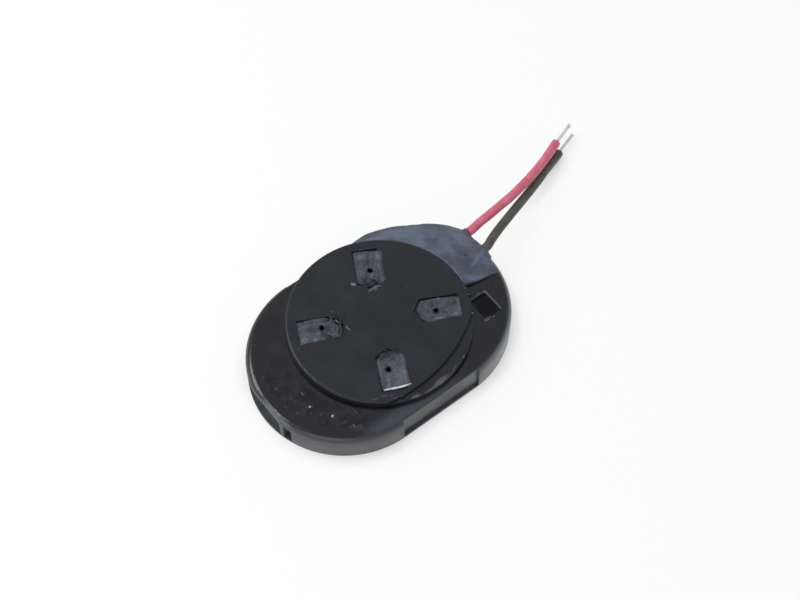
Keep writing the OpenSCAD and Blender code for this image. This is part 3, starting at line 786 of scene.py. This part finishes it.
sealantSetup = {
    "voxel": 0.05, "lumps": 0.06, "ridges": 0.03, "rings": 90, "recessRings": 12, "sleeveRings": 10,
    "recess": (7.07, -0.28, 3.28, 0.28),   # inner end, two sides and depth of the slot it fills
    "stations": [
        # direction from the motor's axis, distance past the shell's outline, height over the shell
        # and height at the cap
        (-12, -0.2, 0.3, 0.42), (-9, -0.2, 0.4, 0.5), (-6, -0.25, 0.46, 0.52), (-2, 0, 0.56, 0.54),
        (1, 0.2, 0.6, 0.55), (4, 0.1, 0.5, 0.55), (8, 0.15, 0.48, 0.55), (12, 0.35, 0.58, 0.55),
        (16, 0.35, 0.52, 0.54), (24, 0.18, 0.42, 0.52), (33, -0.1, 0.4, 0.5), (42, -0.22, 0.36, 0.46),
        (52, -0.12, 0.28, 0.42), (61, -0.02, 0.2, 0.34), (68, -0.08, 0.14, 0.26), (73, -0.25, 0.08, 0.18),
    ],
    "sleeves": {"from": 8.6, "to": 9.95, "thick": 0.46, "thin": 0.37},
}


def shellEdge(turn):
    # distance from the motor's axis to the shell's outline on the side of the leads
    x, y = cos(turn), sin(turn)
    ahead = endX - motorX
    if y > 0 and (endRadius - motorY) / y * x < ahead:
        return (endRadius - motorY) / y
    along = x * ahead - y * motorY
    return along + sqrt(along ** 2 - ahead ** 2 - motorY ** 2 + endRadius ** 2)


def beadSkin(setup):
    profile = [
        (0, 0, 0), (0, 1, 0), (0.12, 0.8, 0.26), (0.3, 0.3, 0.74), (0.5, 0, 1), (0.68, 0, 0.95),
        (0.83, 0, 0.78), (0.93, 0, 0.5), (1, 0, 0.12), (1, 0, -0.25), (0.93, 0, -0.3),
    ]
    turns, past, heights, atCap = (np.array(column) for column in zip(*setup["stations"]))
    rings = []
    for turn in np.linspace(turns[0], turns[-1], setup["rings"]):
        edge = shellEdge(radians(turn)) + np.interp(turn, turns, past)
        height, capHeight = np.interp(turn, turns, heights), np.interp(turn, turns, atCap)
        inner = capRadius - 0.02
        edge = max(inner + 0.25, edge + 0.05 * noise.noise(Vector((turn * 0.16, 3, 0))))
        ring = []
        for across, capShare, ownShare in profile:
            radius = inner + (edge - inner) * across
            z = shellTop - 0.02 + capHeight * capShare + height * ownShare
            angle = radians(turn)
            ring.append(Vector((motorX + radius * cos(angle), motorY + radius * sin(angle), z)))
        rings.append(ring)
    return sweep(rings)


def recessFill(setup):
    inner, low, high, depth = setup["recess"]
    floor, count = shellTop - depth, setup["recessRings"]
    rings = []
    for i in range(count + 1):
        y = low + (high - low) * i / count
        x = endX + sqrt(endRadius ** 2 - y ** 2) - 0.02
        levels = [(inner, floor), (x, floor), (x, shellTop + 0.1), (inner, shellTop + 0.1)]
        rings.append([Vector((across, y, z)) for across, z in levels])
    return sweep(rings)


def sleeve(setup, colour):
    # the bead stands up round each lead just before the lead comes out
    own, count = setup["sleeves"], setup["sleeveRings"]
    exit = Vector((0, leadSetup[colour]["exitY"], shellTop + leadSetup["exitRise"]))
    rings = []
    for i in range(count + 1):
        x = own["from"] + (own["to"] - own["from"]) * i / count
        radius = own["thick"] + (own["thin"] - own["thick"]) * (i / count) ** 1.6
        rings.append(ringOf((exit + Vector((x, 0, 0)), Vector((0, 1, 0)), Vector((0, 0, 1))), radius, 24))
    return sweep(rings)


def makeSealant(setup, material):
    parts = [beadSkin(setup), recessFill(setup), sleeve(setup, "red"), sleeve(setup, "black")]
    piece = linkMesh("sealant_bead", *joined(parts))
    bm = bmesh.new()
    bm.from_mesh(piece.data)
    bmesh.ops.recalc_face_normals(bm, faces=bm.faces)
    bm.to_mesh(piece.data)
    bm.free()
    remesh = piece.modifiers.new("skin", "REMESH")
    remesh.mode, remesh.voxel_size = "VOXEL", setup["voxel"] * mm
    remesh.use_smooth_shade = True
    soften = piece.modifiers.new("soften", "SMOOTH")
    soften.factor, soften.iterations = 0.5, 12
    applied(piece)
    normals = [v.normal.copy() for v in piece.data.vertices]
    for vertex, normal in zip(piece.data.vertices, normals):
        at = vertex.co / mm
        flat = Vector((at.x - motorX, at.y - motorY, 0))
        free = clamped((flat.length - capRadius - 0.05) / 0.4) * clamped((at.z - shellTop + 0.05) / 0.2)
        slant = Vector((at.x * 0.8 + at.y * 0.6, at.y * 0.8 - at.x * 0.6, at.z))
        lumps = noise.fractal(at * 0.7, 0.9, 2.1, 2) * setup["lumps"]
        ridges = noise.fractal(Vector((slant.x * 0.5, slant.y * 1.9, 5)), 0.8, 2.2, 2) * setup["ridges"]
        vertex.co += normal * (lumps + ridges) * free * mm
    settle(piece, material, "sealant", "sealant")


# damping cloths in the windows

clothSetup = {
    "spacing": 0.055, "pitch": 0.2, "weave": 0.01, "wrinkle": 0.03, "under": 0.045, "over": 0.03,
    "edgeStep": 0.09, "ragged": 0.04, "pin": 0.16, "pinSides": 26,
    "pocket": (-0.765, 1.085, 5.8),   # two sides and outer end of the window it lies in
    # each cloth's own edge, along and across from the motor's axis, and how far the glue has crept in
    "cuts": {
        1: ([(5.68, 1), (5.74, 0.2), (5.5, -1.08), (4.4, -0.96), (3.05, -1), (2.7, -0.6),
             (2.72, 0.4), (3.15, 1.02)], 0.3),
        2: ([(5.72, 1.2), (5.77, -0.62), (4.6, -0.74), (3.6, -0.7), (3.2, -0.55), (2.9, 0.1),
             (2.75, 0.95), (3.4, 1.08)], 1.7),
        3: ([(5.6, 1.28), (5.74, -0.6), (4.4, -0.72), (3.4, -0.72), (2.8, -0.4), (2.6, 0.1),
             (2.75, 0.95), (3.3, 1.24)], 0.4),
        4: ([(5.82, 0.86), (5.78, -0.74), (4.4, -0.8), (3.4, -0.9), (2.9, -0.45), (2.75, 0.35),
             (3.1, 0.9), (4.4, 0.97)], 0.1),
    },
}


def makeCloth(number, setup):
    outline, glued = setup["cuts"][number]
    edge = raggedLoop(outline, setup["edgeStep"], setup["ragged"], number * 3.7)
    pinEdge = []
    for k in range(setup["pinSides"]):
        angle = 2 * pi * k / setup["pinSides"]
        jag = noise.noise(Vector((cos(angle) * 1.9, sin(angle) * 1.9, number * 2.3)))
        radius = setup["pin"] * (1 + 0.75 * jag)
        pinEdge.append((pinReach + radius * cos(angle), radius * sin(angle)))

    def fold(x, y):
        return noise.fractal(Vector((x * 1.1, y * 1.1, number)), 0.8, 2, 4)

    def past(x, y):
        low, high, outer = setup["pocket"]
        return max(y - high, low - y, x - outer)

    def top(x, y):
        fromPin = hypot(x - pinReach, y)
        weave = sin(2 * pi * x / setup["pitch"]) * sin(2 * pi * y / setup["pitch"])
        dip = 0.06 * exp(-(fromPin / 0.35) ** 2)
        share = clamped((past(x, y) + 0.1) / 0.12)
        level = capTop - setup["under"] + (setup["under"] + setup["over"]) * share
        return level + setup["weave"] * weave + setup["wrinkle"] * (1 - 0.7 * share) * fold(x, y) - dip

    def bottom(x, y):
        sag = 0.04 if hypot(x - pinReach, y) < 0.3 else 0
        return capTop - 0.004 if past(x, y) > -0.02 else windowFloor + 0.003 - sag

    points, faces = cutSheet(edge, [pinEdge], setup["spacing"], top, bottom)
    skin = [inWindow(number, *p) for p in points], faces
    material = clothMaterial(clothLook, number, glued)
    makePiece(f"damping_cloth_{number}", skin, material, "vent_cloth", f"vent_cloth_{number}")


# glue, crumbs and flakes

residueSetup = {
    # window number, along, across, three half widths: black glue on and round the cloths
    "blackGlue": [
        (2, 3.2, -0.68, 0.3, 0.1, 0.05), (2, 2.72, 0.55, 0.14, 0.24, 0.05), (2, 3.1, -0.15, 0.08, 0.12, 0.04),
        (2, 2.5, -0.5, 0.14, 0.12, 0.05), (2, 3.55, -0.55, 0.07, 0.1, 0.04), (2, 2.1, 0.1, 0.16, 0.05, 0.03),
        (1, 2.98, -0.1, 0.22, 0.22, 0.04), (1, 2.76, 0.5, 0.14, 0.24, 0.05), (1, 2.7, -0.3, 0.1, 0.24, 0.04),
        (3, 2.62, 0.1, 0.08, 0.16, 0.03), (3, 2.6, 0.7, 0.07, 0.2, 0.03), (4, 5.3, 1.13, 0.6, 0.07, 0.03),
        (4, 5.78, 0.95, 0.07, 0.2, 0.03), (2, 4.6, -0.78, 0.5, 0.04, 0.03), (2, 5.5, -0.66, 0.2, 0.04, 0.03),
        (4, 6.15, 1.2, 0.14, 0.08, 0.03), (4, 6.2, 0.7, 0.08, 0.12, 0.03),
    ],
    # strings of the same glue, then pale ones, as pairs of ends and a half thickness
    "blackStrings": [
        (2, 3.5, -0.76, 2.45, -0.4, 0.09), (2, 2.66, -0.72, 2.7, 0.76, 0.12),
        (2, 2.34, -0.62, 2.95, 0.62, 0.09), (2, 2.42, 0.02, 1.82, 0.54, 0.07),
        (2, 2.3, -0.2, 2.05, 0.15, 0.05), (4, 4.4, 1.1, 5.8, 1.16, 0.06),
    ],
    "paleStrings": [
        (1, 2.28, 0.42, 2.68, -0.58, 0.11), (2, 2.35, 0.2, 2.12, 0.62, 0.07), (2, 3, -0.45, 2.8, -0.1, 0.06),
    ],
    # pale flakes and dull ones
    "paleFlakes": [
        (1, 3.08, 1.3, 0.14, 0.17, 0.03), (1, 3.22, 1.42, 0.06, 0.08, 0.02), (1, 2.42, -0.1, 0.08, 0.2, 0.05),
        (4, 6.54, -0.66, 0.06, 0.06, 0.02),
    ],
    "dullFlakes": [
        (3, 6.1, -0.62, 0.09, 0.2, 0.02), (3, 6.12, -0.14, 0.08, 0.13, 0.02),
        (3, 6.34, 0.05, 0.06, 0.2, 0.02), (3, 6.22, -1.3, 0.07, 0.3, 0.02), (3, 6.3, 0.55, 0.03, 0.16, 0.02),
        (2, 3.15, -1.1, 0.09, 0.07, 0.02), (2, 5.9, 1.5, 0.07, 0.05, 0.02), (1, 5.85, 0.35, 0.04, 0.14, 0.02),
        (4, 2.5, 0.4, 0.05, 0.05, 0.02),
    ],
    # x, y and half widths of what lies on the shell's back
    "droplets": [(-7.55, -2.05, 0.1, 0.09, 0.07), (-6.72, -3.55, 0.12, 0.09, 0.07)],
    "specks": [
        (-7.35, -2.1, 0.05, 0.05, 0.03), (-6.5, -3.45, 0.05, 0.05, 0.03), (-8.7, 1.75, 0.05, 0.045, 0.03),
        (-7.4, 0.95, 0.04, 0.04, 0.02), (-8.85, -1.05, 0.045, 0.045, 0.02), (-8.5, -1.9, 0.06, 0.05, 0.03),
        (-7.8, -2.5, 0.12, 0.07, 0.02), (-8.05, 2.3, 0.04, 0.04, 0.02), (-7.7, 4.2, 0.06, 0.04, 0.02),
        (5.85, -3.05, 0.07, 0.07, 0.04), (-5.7, -4.6, 0.05, 0.3, 0.02), (-6, -5.0, 0.05, 0.16, 0.02),
        (6.5, -4.08, 0.3, 0.13, 0.035), (6.9, -4.2, 0.16, 0.07, 0.03), (-5.3, -4.3, 0.04, 0.2, 0.02),
    ],
    "crumbs": [
        (-7.75, -3.35, 0.08, 0.07, 0.05), (-7.5, -3.6, 0.09, 0.08, 0.05), (-7.65, -4.15, 0.07, 0.08, 0.04),
        (-8.1, -0.75, 0.3, 0.2, 0.03), (-8.05, -1.15, 0.2, 0.16, 0.03), (-7.15, -2.95, 0.24, 0.14, 0.03),
        (-6.25, -4.45, 0.26, 0.14, 0.03), (-7.25, -0.95, 0.22, 0.3, 0.03), (-8.35, 0.55, 0.3, 0.2, 0.03),
        (-5.35, -4.8, 0.2, 0.1, 0.03),
    ],
}


def makeResidue(setup):
    def string(number, fromAlong, fromAcross, toAlong, toAcross, thick):
        low = capTop - 0.5 * thick
        middle = ((fromAlong + toAlong) / 2 + 0.07, (fromAcross + toAcross) / 2 - 0.04, capTop - 0.3 * thick)
        route = [(fromAlong, fromAcross, low), middle, (toAlong, toAcross, low)]
        return thread([inWindow(number, *p) for p in route], thick)

    def flake(seed, number, along, across, *size):
        # near the cap's rounded rim it sits lower
        fall = max(0, hypot(along, across) - capRadius + 0.3) ** 2
        points, faces = lump((along, across, capTop - 0.006 - fall), size, seed, 0.6)
        return [inWindow(number, *p) for p in points], faces

    onCloths = [
        # name, lumps, strings, two tones, roughness
        ("glue_on_cloths", "blackGlue", "blackStrings", (10, 10, 12), (22, 22, 26), 0.42),
        ("pale_flakes", "paleFlakes", "paleStrings", (84, 88, 94), (122, 126, 132), 0.45),
        ("dull_flakes", "dullFlakes", "", (58, 56, 66), (84, 80, 92), 0.45),
    ]
    onShell = [
        # painted glints: the droplets are near white, and some specks light grey, where light catches the
        # shell's back
        ("droplets", (160, 162, 170), (214, 216, 222), 0.14),
        ("specks", (64, 62, 68), (96, 92, 98), 0.35),
        ("crumbs", (20, 19, 22), (46, 43, 49), 0.35),
    ]

    for name, lumps, strings, *look in onCloths:
        bits = [flake(i, *bit) for i, bit in enumerate(setup[lumps])]
        bits += [string(*bit) for bit in setup.get(strings, [])]
        makePiece(name, joined(bits), plasticMaterial(name, *look, 4), "sealant")
    for name, *look in onShell:
        bits = [lump((x, y, shellTop), size, i + 40, 0.5) for i, (x, y, *size) in enumerate(setup[name])]
        makePiece(name, joined(bits), plasticMaterial(name, *look, 4), "sealant")


filmSetup = {
    # outline on the shell's back, thickness, ragged edge, colours
    "leftFilm": {
        "outline": [
            (-8.9, 1.6), (-8.1, 2.5), (-7.1, 2.1), (-6.8, 0.4), (-6.6, -1.4), (-5.7, -3.1), (-4.6, -4.3),
            (-4.4, -5), (-5.3, -5.5), (-6.6, -4.8), (-7.7, -3.9), (-8.5, -2.6), (-8.9, -1.2), (-9.1, 0.3),
        ],
        "thick": 0.024, "ragged": 0.12, "dark": (14, 13, 16), "light": (38, 35, 41), "rough": 0.2,
    },
    "farFilm": {
        "outline": [
            (7.6, -1.5), (8.5, -1.45), (9.1, -1.8), (8.9, -2.8), (8.3, -3.3), (8.05, -2.6), (7.95, -1.95),
        ],
        "thick": 0.02, "ragged": 0.1, "dark": (24, 22, 26), "light": (46, 43, 50), "rough": 0.2,
    },
}


def makeFilms(setup):
    for seed, (name, film) in enumerate(setup.items()):
        outline = raggedLoop(film["outline"], 0.16, film["ragged"], seed * 5.1)
        rim = np.array(outline)

        def top(x, y):
            edge = min(1, np.hypot(rim[:, 0] - x, rim[:, 1] - y).min() / 0.6)
            swell = 0.55 + noise.fractal(Vector((x * 1.2, y * 1.2, seed)), 0.8, 2.2, 4)
            return shellTop - 0.002 + film["thick"] * edge * edge * (3 - 2 * edge) * max(0.15, swell)

        sheet = cutSheet(outline, [], 0.11, top, lambda x, y: shellTop - 0.006)
        material = plasticMaterial(name, film["dark"], film["light"], film["rough"], 1.2)
        makePiece(name, sheet, material, "sealant")


rimSetup = {
    "lipFrom": (5.68, -0.6), "lipTo": (5.48, 1.34), "lipRadius": 0.08, "lipRings": 24,
    "ribs": [-12.8, -15.2, -17.4, -19.8], "ribRadius": 0.1,
}


def makeLip(setup):
    # the third cloth's outer edge has curled up; its near-white tone is a painted highlight along it
    out = inWindow(3, 1, 0, 0) - inWindow(3, 0, 0, 0)
    rings = []
    for i in range(setup["lipRings"] + 1):
        share = i / setup["lipRings"]
        along, across = Vector(setup["lipFrom"]).lerp(Vector(setup["lipTo"]), share)
        radius = setup["lipRadius"] * (0.25 + 0.75 * sin(pi * (0.08 + 0.84 * share)))
        radius *= 1 + 0.3 * noise.noise(Vector((across * 4, 0, 0)))
        centre = inWindow(3, along + 0.03 * sin(across * 3), across, capTop)
        rings.append(ringOf((centre, out, Vector((0, 0, 1))), radius, 12))
    material = plasticMaterial("curledLipGlint", (216, 220, 226), (240, 242, 246), 0.25, 3)
    makePiece("curled_cloth_lip", sweep(rings), material, "vent_cloth")


def makeRibs(setup):
    # strings of sealant from the shell up to the cap's rim
    ribs = []
    for turn in setup["ribs"]:
        out = heading(radians(turn))
        foot = Vector((motorX, motorY, 0)) + out * (capRadius + 0.06)
        levels = [(0, shellTop), (0, shellTop + 0.35), (0.2, capTop - 0.02)]
        route = [foot - out * inward + Vector((0, 0, z)) for inward, z in levels]
        ribs.append(thread(route, setup["ribRadius"]))
    material = plasticMaterial("glueRibs", (50, 54, 60), (82, 88, 96), 0.35, 3)
    makePiece("glue_ribs", joined(ribs), material, "sealant")


# film and wires, cut into pieces where they bend as the coil moves

bendSetup = {
    "axis": (0.22, 0.34, 0), "sectors": 36, "coilEdge": 3.1, "clamped": 0.9, "onCut": 0.001,
    "slots": {
        "surround": "surround_film", "coil_leadout_red": "coil_wire", "coil_leadout_black": "coil_wire",
    },
    "wireAcross": {"coil_leadout_red": 2.4, "coil_leadout_black": 0.6},
    "wireFrom": 3.24, "wireTo": 3.16, "wireRings": 5,   # distances from the axis, and the steps between
}


def bend(piece, node, start):
    piece.data.materials.clear()
    piece.data.materials.append(cadLooks[node])
    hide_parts(node)
    start * mm
    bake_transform(piece)


def bendSurround(setup):
    axis = Vector(setup["axis"])
    step = 2 * pi / setup["sectors"]
    for k in range(setup["sectors"]):
        first, out, last = (heading((k + share) * step) for share in (0, 0.5, 1))
        cuts = [(axis, Vector((first.y, -first.x, 0))), (axis, Vector((-last.y, last.x, 0)))]
        piece = cutCopy(f"surround_sector_{k + 1:02d}", "surround", cuts)
        spots = [vertex.co / mm - axis for vertex in piece.data.vertices]
        # the outer edge comes nearest at one of the two cuts
        reaches = []
        for edge in (first, last):
            side = Vector((-edge.y, edge.x, 0))
            farthest = max(spot.dot(edge) for spot in spots if abs(spot.dot(side)) < setup["onCut"])
            reaches.append(farthest * edge.dot(out))
        fixed = axis + out * (min(reaches) - setup["clamped"])
        bend(piece, "surround", fixed)


def bendWires(setup):
    # each wire bends in the narrow gap between coil and yoke
    axis, count = Vector(setup["axis"]), setup["wireRings"]
    for node, across in setup["wireAcross"].items():
        reaches = (setup["wireFrom"], setup["wireTo"])
        outer, inner = (axis.x + sqrt(reach ** 2 - (across - axis.y) ** 2) for reach in reaches)
        places = [outer + (inner - outer) * i / count for i in range(count + 1)]
        rings = [(Vector((place, 0, 0)), Vector((1, 0, 0))) for place in places]
        piece = cutCopy(f"bending_{node}", node, rings=rings)
        bend(piece, node, Vector((outer, 0, 0)))


# build

makeCamera(cameraSetup)
makeLamps(lampSetup)
bpy.context.scene.view_settings.view_transform = "Standard"
makeWorld(worldSetup)
makeTable(tableSetup)
print("stage made")

steel = metalMaterial("nickelSteel", (178, 180, 182), (120, 118, 112), 0.32)
coilWire = metalMaterial("coilWire", (184, 104, 58), (120, 60, 34), 0.35)
solder = metalMaterial("brightSolder", (186, 188, 190), (130, 130, 130), 0.3)
cadLooks = {
    "frame": shellMaterial(shellLook),
    "back_cap": capMaterial(capLook),
    "front_cover": metalMaterial("pressedCover", (168, 170, 172), (120, 122, 124), 0.36, grainTurn=12),
    "dust_mesh": meshMaterial(),
    "diaphragm_ring": metalMaterial("stampedBrass", (196, 164, 96), (140, 104, 56), 0.34),
    "surround": plasticMaterial("formedFilm", (176, 148, 88), (150, 120, 66), 0.25),
    "dome": metalMaterial("domeFoil", (205, 208, 212), (170, 174, 180), 0.3),
    "voice_coil": windingMaterial(),
    "coil_leadout_red": coilWire,
    "coil_leadout_black": coilWire,
    "top_plate": steel,
    "magnet": metalMaterial("platedMagnet", (140, 142, 146), (90, 90, 92), 0.3),
    "yoke": steel,
    "terminal_board": plasticMaterial("glassLaminate", (58, 96, 62), (40, 74, 48), 0.45),
    "copper_pads": metalMaterial("padCopper", (190, 120, 70), (120, 74, 46), 0.4),
    "solder_joint_red": solder,
    "solder_joint_black": solder,
}
for node, material in cadLooks.items():
    giveMaterial(node, material)
for node, width in {"frame": 0.05, "back_cap": 0.04, "front_cover": 0.03}.items():
    softenEdges(node, width)
print("materials given")

bendSurround(bendSetup)
bendWires(bendSetup)
print("bending pieces made")

tinned = metalMaterial("tinnedStrand", (252, 252, 250), (228, 227, 222), 0.4, 0.15)
coverLooks = {
    "red": ((226, 104, 128), (236, 132, 150), (150, 66, 84), 0.42),
    "black": ((82, 76, 68), (104, 98, 88), (58, 52, 46), 0.5),
}
for colour, look in coverLooks.items():
    makeLead(colour, insulationMaterial(f"{colour}Cover", *look), tinned)
print("leads made")
makeSealant(sealantSetup, sealantMaterial(sealantLook))
print("sealant made")
for number in clothSetup["cuts"]:
    makeCloth(number, clothSetup)
print("cloths made")
makeResidue(residueSetup)
makeFilms(filmSetup)
makeLip(rimSetup)
makeRibs(rimSetup)
print("residue made")
